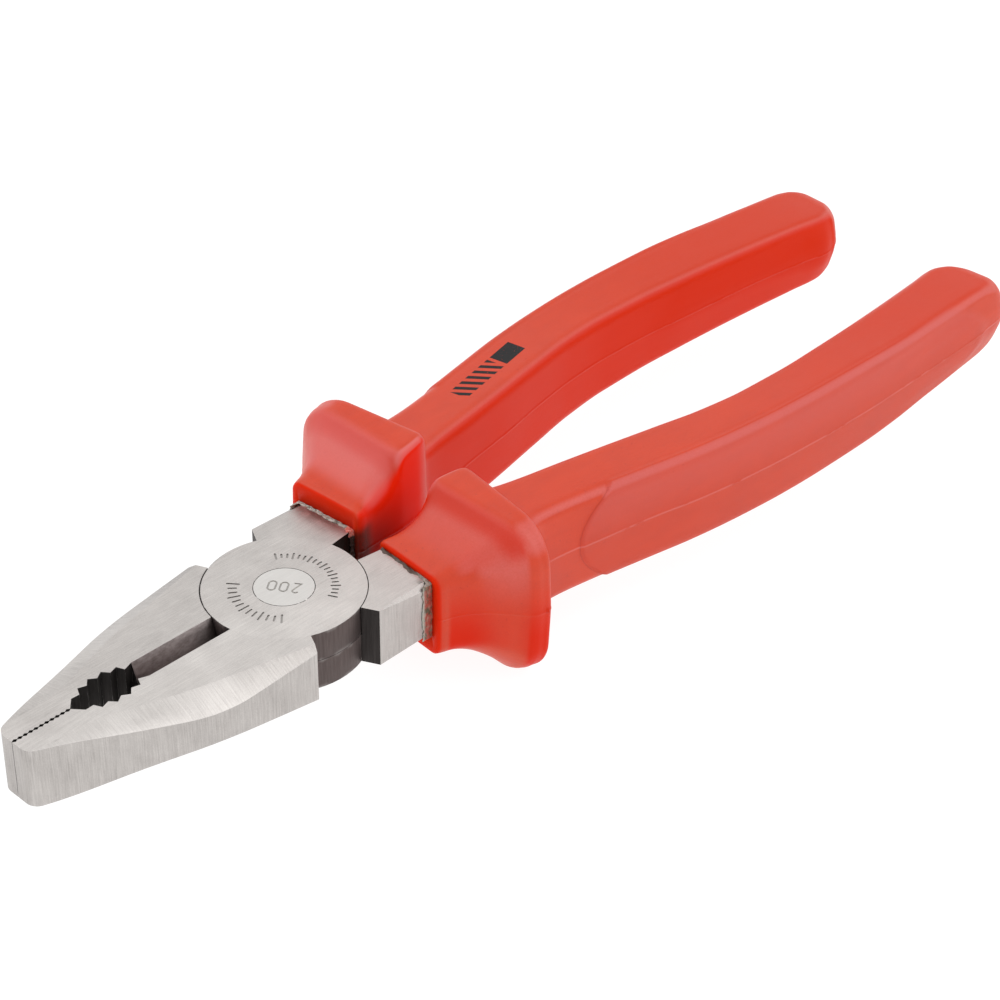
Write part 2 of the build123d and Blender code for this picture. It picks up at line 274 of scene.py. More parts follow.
def ease(value, low, high):
    """0 at low, 1 at high, smooth between them and level beyond. low may be above high."""
    t = np.clip((value - low) / (high - low), 0, 1)
    return t * t * (3 - 2 * t)


def panel_share(x, z):
    """1 on the raised panel of the outer flank, 0 off it."""
    bow = (z / PANEL_HALF_Z) ** 2
    near_x = PANEL_NEAR_X - PANEL_NEAR_BOW * bow
    far_x = PANEL_FAR_X + PANEL_FAR_BOW * bow
    near = ease(x, near_x + PANEL_STEP, near_x - PANEL_STEP)
    far = ease(x, far_x - PANEL_FADE, far_x + PANEL_FADE)
    thinned = 1 - PANEL_THIN_BY * ease(x, *PANEL_THIN_X) * ease(np.abs(z), *PANEL_THIN_Z)
    return near * far * thinned


def grip_ring(row):
    """Points (x, d, z) of one outside section."""
    x, top_in, top_out, z_in, z_out, crest_in, crest_out, r_in, r_out, r_crest, lean, above = row
    corners = [
        (top_in, z_in),
        (top_out, z_out),
        (crest_out, 0),
        (top_out, -z_out),
        (top_in, -z_in),
        (crest_in, 0),
    ]
    ring = even_ring(corners, [r_in, r_out, r_crest, r_out, r_in, r_crest], POINTS_PER_SPAN)
    middle = (crest_in + crest_out) / 2
    forward = np.roll(ring, -1, axis=0) - np.roll(ring, 1, axis=0)
    outward = np.stack([forward[:, 1], -forward[:, 0]], 1)
    outward /= np.linalg.norm(outward, axis=1)[:, None]
    if outward[0] @ (ring[0] - (middle, 0)) < 0:
        outward = -outward
    raised = PANEL_RAISE * panel_share(x, ring[:, 1]) * ease(outward[:, 0], 0.15, 0.45)
    for index in (2 * POINTS_PER_SPAN, 5 * POINTS_PER_SPAN):
        nub = NUB_RAISE if index < 3 * POINTS_PER_SPAN and abs(x - NUB_X) < 0.4 else 0.0
        raised[index] += FLASH_RAISE + nub
        raised[[index - 1, index + 1]] += FLASH_RAISE / 3 + nub
    ring += outward * raised[:, None]
    shift = (ring[:, 0] - middle) * math.tan(math.radians(lean))
    return np.stack([x + shift, ring[:, 0], ring[:, 1] + above], 1)


def tang_corners(inner, outer, half):
    """Outline of the tang, with a hardly raised point in the middle of each side."""
    return [
        (inner, half),
        (outer, half),
        (outer + SIDE_CREST, 0),
        (outer, -half),
        (inner, -half),
        (inner - SIDE_CREST, 0),
    ]


def cavity_ring(x, inner, outer, half):
    """Points (x, d, z) of one section of the tang's cavity, in the same order."""
    middle = (inner + outer) / 2
    ring = even_ring(tang_corners(inner, outer, half), [CAVITY_CORNER] * 6, POINTS_PER_SPAN)
    leaning = max(0.0, min(1.0, (x - LEAN_FROM_X) / (MOUTH_X - LEAN_FROM_X)))
    shift = (ring[:, 0] - middle) * math.tan(math.radians(MOUTH_LEAN)) * leaning
    return np.stack([x + shift, ring[:, 0], ring[:, 1]], 1)


def make_grip(body):
    """Moulded grip of one half: from the end of the tang's cavity out to the mouth, round its lip
    and back along the outside."""
    side = SIDES[body]
    inside = [cavity_ring(*row) for row in reversed(TANG_SECTIONS)]
    outside = [grip_ring(row) for row in smooth_rows(GRIP_SECTIONS, RING_SPACING)]
    rings = inside + outside
    points = np.concatenate(rings)
    per_ring = 6 * POINTS_PER_SPAN
    faces = tube_faces(len(rings), per_ring, closed_ends=True)
    piece = mesh_object(f"moulded_grip_{SIDE_WORDS[body]}", place(points, side), faces)
    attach(piece, body)
    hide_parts(f"grip_{body}")
    return piece


# ---------------------------------------------------------------- adhesive at the mouths

TANG_INNER = 3.35
TANG_OUTER = 15.45
TANG_HALF = 5.3
BEAD_ALONG = 22
BEAD_PER_SPAN = 44
BEAD_CORNER = 0.25
BEAD_THICK = 0.28
BEAD_THICK_OUTSIDE = 0.17
BEAD_SUNK = 0.05                        # how far its inner skin lies inside the steel
DROP_SPOT = (3.7, 5.0)                  # small drop at the inner corner of the upper half's mouth
DROP_SIZE = 0.75
DROP_WIDTH = 0.45


def bead_reach(d, z, seed, side):
    """How far the adhesive creeps forward from the mouth: furthest on the outer side, and hardly
    at all on the lower half's underside except near its outer corner."""
    outer_side = ease(np.array(d), TANG_OUTER - 0.7, TANG_OUTER - 0.1)
    ragged = noise.noise(seed * 0.8) + 0.5 * noise.noise(seed * 2.6)
    elsewhere = 0.65 + 0.4 * ragged
    if side > 0 and z > 0:
        elsewhere *= 0.08 + 1.4 * float(ease(np.array(d), 11.0, 14.5))
    return float(elsewhere * (1 - outer_side) + (2.0 + 0.4 * ragged) * outer_side)


def bead_thickness(d, z, v, seed, side):
    """Thickness of the crust, from its front edge at v = 0 to the mouth at v = 1: thinner on the
    outer side, and thinnest where it hardly creeps."""
    lump = 0.5 + 0.8 * noise.noise(seed * 1.3 + Vector((v * 3.0, 3.0, 1.0)))
    most = BEAD_THICK_OUTSIDE if d > TANG_OUTER - 0.3 else BEAD_THICK
    if side > 0 and z > 0:
        most *= 0.2 + 0.8 * float(ease(np.array(d), 10.5, 13.5))
    return most * max(0.15, lump) * math.sin(math.pi * min(1.0, 0.06 + v * 0.55)) ** 0.6


def make_adhesive(body):
    """Irregular crust of dried adhesive round the tang, against the mouth."""
    side = SIDES[body]
    middle = (TANG_INNER + TANG_OUTER) / 2
    lean = math.tan(math.radians(MOUTH_LEAN))
    base = even_ring(tang_corners(TANG_INNER, TANG_OUTER, TANG_HALF), [BEAD_CORNER] * 6, BEAD_PER_SPAN)
    around = len(base)
    out = base - (middle, 0)
    out /= np.linalg.norm(out, axis=1)[:, None]
    rings = []
    for row in range(BEAD_ALONG):
        v = row / (BEAD_ALONG - 1)
        ring = []
        for k, (d, z) in enumerate(base):
            seed = Vector((d * 0.9, z * 0.9, 7.0 + 31.0 * (side > 0)))
            reach = bead_reach(d, z, seed, side)
            thick = bead_thickness(d, z, v, seed, side)
            if side < 0:
                off = math.hypot(d - DROP_SPOT[0], z - DROP_SPOT[1])
                drop = DROP_SIZE * math.exp(-(off / DROP_WIDTH) ** 2)
                thick += drop * math.sin(math.pi * min(1.0, v * 1.3)) ** 2
                reach += drop
            x = MOUTH_X + reach * (1 - v) - BEAD_SUNK + (d - middle) * lean
            p = base[k] + out[k] * (thick if row else -BEAD_SUNK)
            ring.append((x, p[0], p[1]))
        rings.append(np.array(ring))
    back = rings[-1].copy()
    back[:, 1:] = rings[0][:, 1:]
    rings.append(back)
    faces = tube_faces(len(rings), around)
    last = (len(rings) - 1) * around
    for k in range(around):
        following = (k + 1) % around
        faces.append((last + k, last + following, following, k))
    piece = mesh_object(f"adhesive_{SIDE_WORDS[body]}", place(np.concatenate(rings), side), faces)
    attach(piece, body)
    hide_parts(f"mouth_adhesive_{body}")
    return piece


# ---------------------------------------------------------------- materials

# Places on the tool that the shades follow: along x, away from the pivot's axis (R), or above the
# lap plane (Z and MARK_FLOOR)
DISC_R = 13.0
RIVET_HEAD_R = 4.9
FACE_Z = LAP_Z
CUTTER_X = (8.0, 28.65)
TEETH_X = (28.8, 52.2)
NOSE_X = 50.0
SHOULDER_X = -4.0
MARK_FLOOR = (FACE_Z - 0.30, FACE_Z - 0.04)
LIP_X = (-18.3, -17.6)
FLARE_X = (-28.4, -21.0)
GUARD_RIM_X = (-33.6, -27.6)
GRIP_END_X = -154.4

# Colours are linear. A pair holds the colours at 0 and at 1 of the noise that varies them.

# Steel
STEEL_DARK = (0.34, 0.315, 0.30)
STEEL_LIGHT = (0.80, 0.765, 0.735)
RIM_BROWN = ((0.075, 0.055, 0.052), (0.19, 0.155, 0.148))
SHADOW_BLACK = ((0.018, 0.015, 0.015), (0.085, 0.075, 0.072))
CUTTER_GREY = ((0.215, 0.18, 0.175), (0.43, 0.375, 0.365))
CUTTER_ROOT = (0.045, 0.038, 0.036)
TEETH_OXIDE_AND_SHADE = ((0.030, 0.027, 0.026), (0.13, 0.12, 0.115))
SEAM_BLACK = (0.03, 0.026, 0.025)
NOTCH_SHADOW = (0.020, 0.017, 0.012)
MARK_GREY = (0.27, 0.255, 0.24)
SMEAR_BROWN = (0.16, 0.145, 0.125)
SMEAR_BLACK = (0.10, 0.10, 0.085)
EDGE_BRIGHT = ((0.46, 0.44, 0.42), (0.90, 0.88, 0.86))
EDGE_DULL = ((0.03, 0.025, 0.023), (0.13, 0.105, 0.10))
RIVET_DARK = (0.36, 0.34, 0.325)
RIVET_LIGHT = (0.88, 0.86, 0.83)
RIVET_OUTLINE = (0.06, 0.05, 0.05)

# Vinyl
RED_DARK = (0.49, 0.026, 0.002)
RED_LIGHT = (0.72, 0.050, 0.005)
RED_SPECK = (0.36, 0.012, 0.004)
RED_FAR_TOP_SHADE = (0.60, 0.030, 0.002)
RED_PAINTED_SHEEN = (0.66, 0.11, 0.095)
RED_EDGE_HIGHLIGHT = (0.68, 0.15, 0.14)
RED_PARTING_HIGHLIGHT = (0.74, 0.19, 0.165)
RED_CREASE_SHADE = (0.36, 0.010, 0.003)
RED_GUARD_SIDE_SHADE = (0.66, 0.014, 0.001)
RED_FLARE_CREASE_SHADE = (0.60, 0.018, 0.001)
RED_INNER_FLANK_SHADE = (0.69, 0.024, 0.003)
RED_BETWEEN_GUARDS_SHADE = (0.86, 0.018, 0.003)
RED_RECESS_SHADE = (0.24, 0.006, 0.003)
RED_RIM_HIGHLIGHT = (0.70, 0.15, 0.14)
RED_LIP_SHADE = (0.72, 0.016, 0.001)
RED_FLARE_HIGHLIGHT = (0.70, 0.14, 0.13)
RED_FLARE_SHADE = (0.60, 0.025, 0.003)
CORNER_DARK_BROWN = (0.075, 0.016, 0.009)
PRINT_BLACK = (0.004, 0.003, 0.004)

# Adhesive
CEMENT_DIRTY = (0.12, 0.095, 0.07)
CEMENT_TAN = (0.42, 0.36, 0.31)
CEMENT_CRUST = (0.62, 0.60, 0.56)
CEMENT_THIN = (0.060, 0.035, 0.025)
CEMENT_GREEN = (0.085, 0.075, 0.040)
CEMENT_RED = (0.33, 0.050, 0.030)
CEMENT_STREAK = (0.34, 0.20, 0.15)
CEMENT_FRONT = (0.40, 0.39, 0.34)
CEMENT_INNER_SHADE = (0.035, 0.018, 0.012)
DROP_RED = ((0.60, 0.06, 0.04), (0.72, 0.30, 0.24))


class Graph:
    """Short calls for wiring the nodes of one material. A value is a number, a tuple or a socket."""

    def __init__(self, name):
        self.material = bpy.data.materials.new(name)
        self.material.use_nodes = True
        self.nodes = self.material.node_tree.nodes
        self.links = self.material.node_tree.links
        self.nodes.clear()
        self.output = self.nodes.new("ShaderNodeOutputMaterial")
        self.shader = self.nodes.new("ShaderNodeBsdfPrincipled")
        self.links.new(self.shader.outputs[0], self.output.inputs[0])
        coordinates = self.nodes.new("ShaderNodeTexCoord")
        in_mm = self.nodes.new("ShaderNodeVectorMath")
        in_mm.operation = "MULTIPLY_ADD"
        in_mm.inputs[1].default_value = (1 / MM,) * 3
        in_mm.inputs[2].default_value = (0, 0, -LAP_Z)
        self.links.new(coordinates.outputs["Object"], in_mm.inputs[0])
        self.place = in_mm.outputs[0]
        self.normal = coordinates.outputs["Normal"]
        self.x, self.y, self.z = self.split(self.place)
        self.nx, self.ny, self.nz = self.split(self.normal)

    def put(self, value, socket):
        if isinstance(value, bpy.types.NodeSocket):
            self.links.new(value, socket)
        elif isinstance(value, tuple) and len(value) == 3 and socket.type == "RGBA":
            socket.default_value = (*value, 1.0)
        else:
            socket.default_value = value

    def split(self, vector):
        node = self.nodes.new("ShaderNodeSeparateXYZ")
        self.put(vector, node.inputs[0])
        return node.outputs[:]

    def math(self, operation, a, b=0.0, c=0.0, clamp=False):
        node = self.nodes.new("ShaderNodeMath")
        node.operation = operation
        node.use_clamp = clamp
        for value, socket in zip((a, b, c), node.inputs):
            self.put(value, socket)
        return node.outputs[0]

    def add(self, *values):
        total = values[0]
        for value in values[1:]:
            total = self.math("ADD", total, value)
        return total

    def times(self, *values):
        total = values[0]
        for value in values[1:]:
            total = self.math("MULTIPLY", total, value)
        return total

    def either(self, *masks):
        """The highest of some masks."""
        highest = masks[0]
        for mask in masks[1:]:
            highest = self.math("MAXIMUM", highest, mask)
        return highest

    def clamped(self, value):
        return self.math("ADD", value, 0.0, clamp=True)

    def size_of(self, value):
        return self.math("ABSOLUTE", value)

    def inverse(self, value):
        return self.math("SUBTRACT", 1.0, value, clamp=True)

    def from_axis(self):
        """Distance from the pivot's axis."""
        return self.math("SQRT", self.add(self.times(self.x, self.x), self.times(self.y, self.y)))

    def away(self):
        """How far a face looks away from the tool's middle plane: 1 outwards, -1 inwards."""
        return self.times(self.math("SIGN", self.y), self.ny)

    def rise(self, value, low, high):
        """0 at low, 1 at high, smooth between them and level beyond. low may be above high."""
        node = self.nodes.new("ShaderNodeMapRange")
        node.interpolation_type = "SMOOTHSTEP"
        self.put(value, node.inputs["Value"])
        if low < high:
            limits = (low, high, 0.0, 1.0)
        else:
            limits = (high, low, 1.0, 0.0)
        for name, number in zip(("From Min", "From Max", "To Min", "To Max"), limits):
            node.inputs[name].default_value = number
        return node.outputs[0]

    def between(self, value, low, high, soft):
        """1 from low to high and 0 outside, with either limit softened."""
        return self.times(
            self.rise(value, low - soft, low + soft),
            self.rise(value, high + soft, high - soft),
        )

    def spread(self, value, low, high):
        """A 0 to 1 value mapped straight on to low to high."""
        return self.math("MULTIPLY_ADD", value, high - low, low)

    def stretched(self, sx, sy, sz, turn=0.0):
        """The place scaled along each axis, then turned about Z by degrees. A small scale draws a
        noise out along its axis."""
        node = self.nodes.new("ShaderNodeMapping")
        node.inputs["Rotation"].default_value = (0, 0, math.radians(turn))
        node.inputs["Scale"].default_value = (sx, sy, sz)
        self.put(self.place, node.inputs["Vector"])
        return node.outputs[0]

    def noise(self, vector, scale, detail=2.0, roughness=0.5):
        node = self.nodes.new("ShaderNodeTexNoise")
        self.put(vector, node.inputs["Vector"])
        node.inputs["Scale"].default_value = scale
        node.inputs["Detail"].default_value = detail
        node.inputs["Roughness"].default_value = roughness
        return node.outputs[0]

    def mix(self, factor, first, second):
        """Colour from first at 0 to second at 1."""
        node = self.nodes.new("ShaderNodeMix")
        node.data_type = "RGBA"
        self.put(factor, node.inputs[0])
        self.put(first, node.inputs[6])
        self.put(second, node.inputs[7])
        return node.outputs[2]

    def layer(self, colour, mask, share, tint):
        """The colour with a tint over it where the mask is 1, as strongly as share says."""
        return self.mix(self.times(mask, share), colour, tint)

    def blend(self, factor, first, second):
        """Number from first at 0 to second at 1."""
        node = self.nodes.new("ShaderNodeMix")
        self.put(factor, node.inputs[0])
        self.put(first, node.inputs[2])
        self.put(second, node.inputs[3])
        return node.outputs[0]

    def bump(self, height, distance_mm, strength=1.0):
        node = self.nodes.new("ShaderNodeBump")
        node.inputs["Strength"].default_value = strength
        node.inputs["Distance"].default_value = distance_mm * MM
        self.put(height, node.inputs["Height"])
        self.put(node.outputs[0], self.shader.inputs["Normal"])

    def set(self, name, value):
        self.put(value, self.shader.inputs[name])

    def subsurface(self, weight, radius, scale_mm):
        self.set("Subsurface Weight", weight)
        self.set("Subsurface Radius", radius)
        self.set("Subsurface Scale", scale_mm * MM)


def ground_steel(name):
    """Ground and satin forging with painted light and shade on its faces; brown-black in the joint, and
    dark with painted shade between the teeth.
    """
    g = Graph(name)
    up = g.size_of(g.nz)
    flat = g.rise(up, 0.975, 0.995)
    upright = g.rise(up, 0.35, 0.2)
    facet = g.times(g.inverse(flat), g.inverse(upright))
    cloud = g.noise(g.place, 0.16, 3.0, 0.6)
    grain = g.noise(g.place, 9.0, 2.0, 0.6)
    lines = grinding_lines(g, flat, facet, upright)
    tone = g.add(
        g.spread(lines, -0.36, 0.36),
        g.spread(cloud, -0.22, 0.22),
        g.spread(grain, -0.32, 0.32),
        # painted light and shade: faces lighter or darker by how the lamps fall on them
        painted_light_and_shade(g, flat, facet, upright),
    )
    colour = g.mix(g.math("ADD", tone, 0.5, clamp=True), STEEL_DARK, STEEL_LIGHT)
    colour, dull = joint_shades(g, colour, up, upright)
    colour = seam_and_marks(g, colour, flat)
    colour = adhesive_smears(g, colour, flat)
    g.set("Base Color", colour)
    g.set("Metallic", 1.0)
    rough = g.add(0.42, g.spread(lines, -0.06, 0.06), g.spread(cloud, -0.04, 0.06), g.times(dull, 0.14))
    g.set("Roughness", rough)
    g.bump(g.add(lines, g.times(grain, 0.25)), 0.02, 0.9)
    return g.material


def grinding_lines(g, flat, facet, upright):
    """Fine lines: along the tool on the flats, across the bevels, and vertical on the sides."""
    along = g.noise(g.stretched(0.03, 1.0, 1.0, 6.0), 7.0, 3.0, 0.6)
    across = g.noise(g.stretched(1.0, 0.04, 0.04), 5.0, 3.0, 0.6)
    vertical = g.noise(g.stretched(1.0, 1.0, 0.03), 5.5, 3.0, 0.6)
    return g.add(g.times(along, flat), g.times(across, facet), g.times(vertical, upright))


def painted_light_and_shade(g, flat, facet, upright):
    """Painted light and shade on the steel's tone, face by face: flats lighter towards +y and on the disc,
    bevels lighter further along the jaw and darker on the upper half, upright sides and the nose face
    darker.
    """
    nose_shade = g.times(g.rise(g.nx, 0.7, 0.9), g.rise(g.x, NOSE_X - 1.0, NOSE_X))
    return g.add(
        g.times(flat, g.spread(g.rise(g.y, -5.0, 6.0), -0.01, 0.17)),
        g.times(facet, g.spread(g.rise(g.x, 4.0, 28.0), -0.22, 0.16)),
        g.times(facet, g.rise(g.y, 3.0, -3.0), -0.20),
        g.times(upright, -0.15),
        g.times(nose_shade, -0.10),
        g.times(flat, g.rise(g.from_axis(), DISC_R, DISC_R - 0.2), 0.06),
    )


def joint_shades(g, colour, up, upright):
    """The colour with the brown oxide of the joint's rim and the lap on it, painted shadow on the shoulder,
    the heel and the notch behind the disc, the cutter's inner faces greyer and darkest at their root, and
    dark oxide with painted shade in the toothed hollow; and a mask of the dull places."""
    ay = g.size_of(g.y)
    inward = g.rise(g.times(g.y, g.ny), -0.004, -0.012)
    streak = g.noise(g.stretched(1.0, 1.0, 0.05), 3.0, 4.0, 0.7)

    rim = g.times(upright, g.rise(g.from_axis(), DISC_R + 0.45, DISC_R + 0.3))
    rim_colour = g.mix(streak, *RIM_BROWN)
    colour = g.mix(rim, colour, rim_colour)

    shoulder = g.times(upright, g.rise(g.nx, 0.6, 0.8), g.rise(g.x, SHOULDER_X + 2.0, SHOULDER_X))
    heel = g.times(upright, g.rise(g.nx, -0.6, -0.8), g.rise(g.x, 2.0, 4.0), g.rise(g.x, 9.0, 8.0))
    colour = g.mix(g.either(shoulder, heel), colour, g.mix(streak, *SHADOW_BLACK))

    cutter = g.times(g.rise(up, 0.7, 0.6), g.rise(ay, 2.3, 2.2), g.between(g.x, *CUTTER_X, 0.02), inward)
    blotch = g.noise(g.stretched(0.5, 1.0, 1.0), 1.4, 4.0, 0.7)
    cutter_colour = g.mix(g.rise(blotch, 0.2, 0.8), *CUTTER_GREY)
    cutter_colour = g.mix(g.rise(g.x, 15.0, 12.2), cutter_colour, CUTTER_ROOT)
    colour = g.mix(cutter, colour, cutter_colour)

    # dark oxide with painted shade in the toothed hollow between the jaws
    slot_end = g.times(g.between(g.x, TEETH_X[0] - 0.4, TEETH_X[0], 0.02), g.rise(ay, 3.2, 3.0))
    toothed = g.times(g.between(g.x, *TEETH_X, 0.02), inward)
    hollow = g.times(upright, g.either(slot_end, toothed))
    colour = g.mix(hollow, colour, g.mix(streak, *TEETH_OXIDE_AND_SHADE))

    inside_lap = g.times(g.rise(g.size_of(g.z), 0.9, 0.7), g.rise(up, 0.8, 0.9))
    colour = g.mix(inside_lap, colour, rim_colour)

    # painted shadow on the inner sides between the halves, behind the disc
    notch_shadow = g.times(upright, g.between(g.x, -24.0, -8.5, 0.3), g.rise(ay, 6.5, 5.5))
    colour = g.mix(notch_shadow, colour, NOTCH_SHADOW)
    return colour, g.either(rim, shoulder, hollow, notch_shadow)


def seam_and_marks(g, colour, flat):
    """The broken dark line where the two halves meet round the disc, and the stamp marks."""
    broken = g.rise(g.noise(g.place, 0.9, 2.0, 0.6), 0.30, 0.45)
    other_half = g.rise(g.times(g.x, g.y, g.math("SIGN", g.z)), -1.0, -8.0)
    ring = g.between(g.from_axis(), DISC_R - 0.07, DISC_R + 0.17, 0.03)
    seam = g.times(flat, ring, g.rise(g.x, -1.0, 3.0), other_half, broken)
    colour = g.layer(colour, seam, 0.9, SEAM_BLACK)
    return stamp_marks(g, colour, flat)


def stamp_marks(g, colour, flat):
    """Grey floors of the marks that are cut into the head's faces."""
    return g.layer(colour, g.times(flat, g.between(g.size_of(g.z), *MARK_FLOOR, 0.02)), 0.7, MARK_GREY)


def adhesive_smears(g, colour, flat):
    """Thin dirty film in front of the upper half's mouth and at the lower half's outer corner."""
    smudge = g.noise(g.stretched(1.0, 0.5, 1.0), 0.8, 3.0, 0.6)
    rear = g.times(g.rise(g.x, -12.8, -16.6), g.rise(g.y, -4.0, -8.0), g.rise(smudge, 0.30, 0.62))
    corner = g.times(g.rise(g.x, -13.8, -16.4), g.rise(g.y, 12.6, 14.6), g.rise(smudge, 0.25, 0.6))
    colour = g.layer(colour, g.times(flat, rear), 0.62, SMEAR_BROWN)
    return g.layer(colour, g.times(flat, corner), 0.85, SMEAR_BLACK)


def edge_steel(name):
    """The finely broken edges, where handling has polished the steel; dull inside the joint."""
    g = Graph(name)
    worn = g.noise(g.place, 1.6, 3.0, 0.6)
    near_disc = g.rise(g.from_axis(), DISC_R + 0.6, DISC_R + 0.4)
    below_face = g.rise(g.size_of(g.z), FACE_Z - 0.4, FACE_Z - 0.9)
    colour = g.mix(g.times(near_disc, below_face), g.mix(worn, *EDGE_BRIGHT), g.mix(worn, *EDGE_DULL))
    g.set("Base Color", colour)
    g.set("Metallic", 1.0)
    g.set("Roughness", g.spread(worn, 0.42, 0.22))
    g.bump(worn, 0.02, 0.6)
    return g.material


def rivet_steel(name):
    """Rivet head ground flush with the lap disc, a shade brighter, with a fine dark outline."""
    g = Graph(name)
    flat = g.rise(g.size_of(g.nz), 0.975, 0.995)
    along = g.noise(g.stretched(0.04, 1.0, 1.0, -28.0), 8.0, 3.0, 0.6)
    cloud = g.noise(g.place, 0.3, 3.0, 0.6)
    tone = g.add(0.72, g.spread(along, -0.14, 0.14), g.spread(cloud, -0.08, 0.08))
    colour = g.mix(g.clamped(tone), RIVET_DARK, RIVET_LIGHT)
    broken = g.rise(g.noise(g.place, 1.3, 2.0, 0.5), 0.36, 0.52)
    outline = g.times(g.rise(g.from_axis(), RIVET_HEAD_R - 0.16, RIVET_HEAD_R - 0.10), broken)
    colour = g.mix(outline, colour, RIVET_OUTLINE)
    g.set("Base Color", stamp_marks(g, colour, flat))
    g.set("Metallic", 1.0)
    g.set("Roughness", g.spread(along, 0.30, 0.40))
    g.bump(along, 0.010, 0.8)
    return g.material


def red_vinyl(name, printed):
    """Soft moulded vinyl: fine grain, faint flow marks and specks, with painted highlights along the upper
    edges, the parting line, the guard's rim and the upper flare, and painted shade in the creases, on the
    inner flanks and the guard's side. The raised outer panel is duller and grained, with a painted sheen,
    and the recess between the guards is painted a deep red shade."""
    g = Graph(name)
    cloud = g.noise(g.place, 0.10, 3.0, 0.55)
    flow = g.noise(g.stretched(0.25, 1.0, 1.0), 0.6, 3.0, 0.55)
    grain = g.noise(g.place, 3.2, 3.0, 0.6)
    fine = g.noise(g.place, 9.0, 2.0, 0.6)
    tone = g.add(g.spread(cloud, -0.25, 0.25), g.spread(flow, -0.2, 0.2), g.spread(grain, -0.22, 0.22), 0.5)
    colour = g.mix(g.clamped(tone), RED_DARK, RED_LIGHT)
    speck = g.rise(g.noise(g.place, 1.7, 1.0, 0.4), 0.71, 0.77)
    colour = g.layer(colour, speck, 0.3, RED_SPECK)

    away = g.away()
    up = g.size_of(g.nz)
    panel, outline = panel_masks(g)
    # painted shade: upward faces deeper red and less shiny towards the grip's far end
    far_top_shade = g.times(g.rise(up, 0.8, 0.95), g.rise(g.x, -60.0, -130.0))
    colour = g.layer(colour, far_top_shade, 0.8, RED_FAR_TOP_SHADE)
    # painted sheen on the raised panel, growing towards its top
    painted_panel_sheen = g.times(panel, g.spread(fine, 0.2, 0.8), g.spread(g.rise(g.z, -2.0, 7.0), 0.25, 1.0))
    colour = g.layer(colour, painted_panel_sheen, 0.75, RED_PAINTED_SHEEN)
    # painted highlight along the upper edges and the guard's outer edge
    colour = g.layer(colour, painted_edge_highlights(g, away, up, grain), 0.72, RED_EDGE_HIGHLIGHT)
    # painted highlight along the parting line, broken by the flow marks
    parting = g.times(g.rise(g.size_of(g.z), 0.24, 0.08), g.rise(up, 0.5, 0.3), g.rise(g.x, -35.5, -37.0))
    colour = g.layer(colour, g.times(parting, g.rise(flow, 0.40, 0.48)), 0.45, RED_PARTING_HIGHLIGHT)
    # painted shade in the crease along the panel's near outline
    colour = g.layer(colour, outline, 0.35, RED_CREASE_SHADE)

    # painted shade: the guard's outer side deeper red and less shiny, more so lower down
    guard_side_shade = g.times(g.rise(away, 0.5, 0.8), g.between(g.x, -33.5, -18.4, 0.5), g.rise(g.z, 8.0, -6.0))
    colour = g.layer(colour, guard_side_shade, 0.85, RED_GUARD_SIDE_SHADE)
    # painted shade in the crease where the flare meets the rim
    flare_crease_shade = g.times(g.between(g.x, -28.4, -26.0, 0.9), g.rise(g.nz, 0.2, 0.5), g.rise(away, 0.75, 0.5))
    colour = g.layer(colour, flare_crease_shade, 0.6, RED_FLARE_CREASE_SHADE)
    # painted shade: inner flanks deeper red, and less shiny behind the guard
    inner_flank_shade = g.times(g.rise(away, -0.45, -0.85), g.rise(g.x, -152.8, -148.5))
    colour = g.layer(colour, inner_flank_shade, 0.75, RED_INNER_FLANK_SHADE)
    # painted shade between the guards: a purer red with less shine
    between_guards_shade = g.times(inner_flank_shade, g.rise(g.size_of(g.y), 7.5, 5.5), g.between(g.x, -33.8, -17.9, 1.6))
    colour = g.layer(colour, between_guards_shade, 0.8, RED_BETWEEN_GUARDS_SHADE)
    # painted shade, darker deep down in the recess between the guards
    deep = g.times(between_guards_shade, g.rise(g.x, -33.0, -21.0), g.rise(g.z, 10.0, 0.0))
    colour = g.layer(colour, deep, 0.8, RED_RECESS_SHADE)
    # painted highlight along the inner corner of the guard's rim
    rim_corner_highlight = g.times(
        g.between(away, -0.94, -0.36, 0.12),
        g.between(g.x, *GUARD_RIM_X, 0.5),
        g.rise(g.nz, 0.22, 0.44),
    )
    colour = g.layer(colour, rim_corner_highlight, 0.7, RED_RIM_HIGHLIGHT)
    # painted shade: the lip's front face deeper red and less shiny
    lip = g.times(g.rise(g.x, *LIP_X), g.rise(g.nx, 0.3, 0.8))
    colour = g.layer(colour, lip, 0.8, RED_LIP_SHADE)

    rough = g.add(0.40, g.spread(cloud, -0.04, 0.04), g.spread(grain, -0.05, 0.05), g.times(panel, 0.12))
    shine = g.add(
        0.47,
        g.times(g.either(between_guards_shade, lip, g.times(guard_side_shade, 0.9)), -0.42),
        g.times(inner_flank_shade, g.rise(g.x, -34.0, -38.0), -0.36),
        g.times(far_top_shade, -0.16),
        g.times(g.rise(g.x, GRIP_END_X + 8.4, GRIP_END_X + 3.4), -0.16),
        g.times(flare_crease_shade, -0.22),
    )
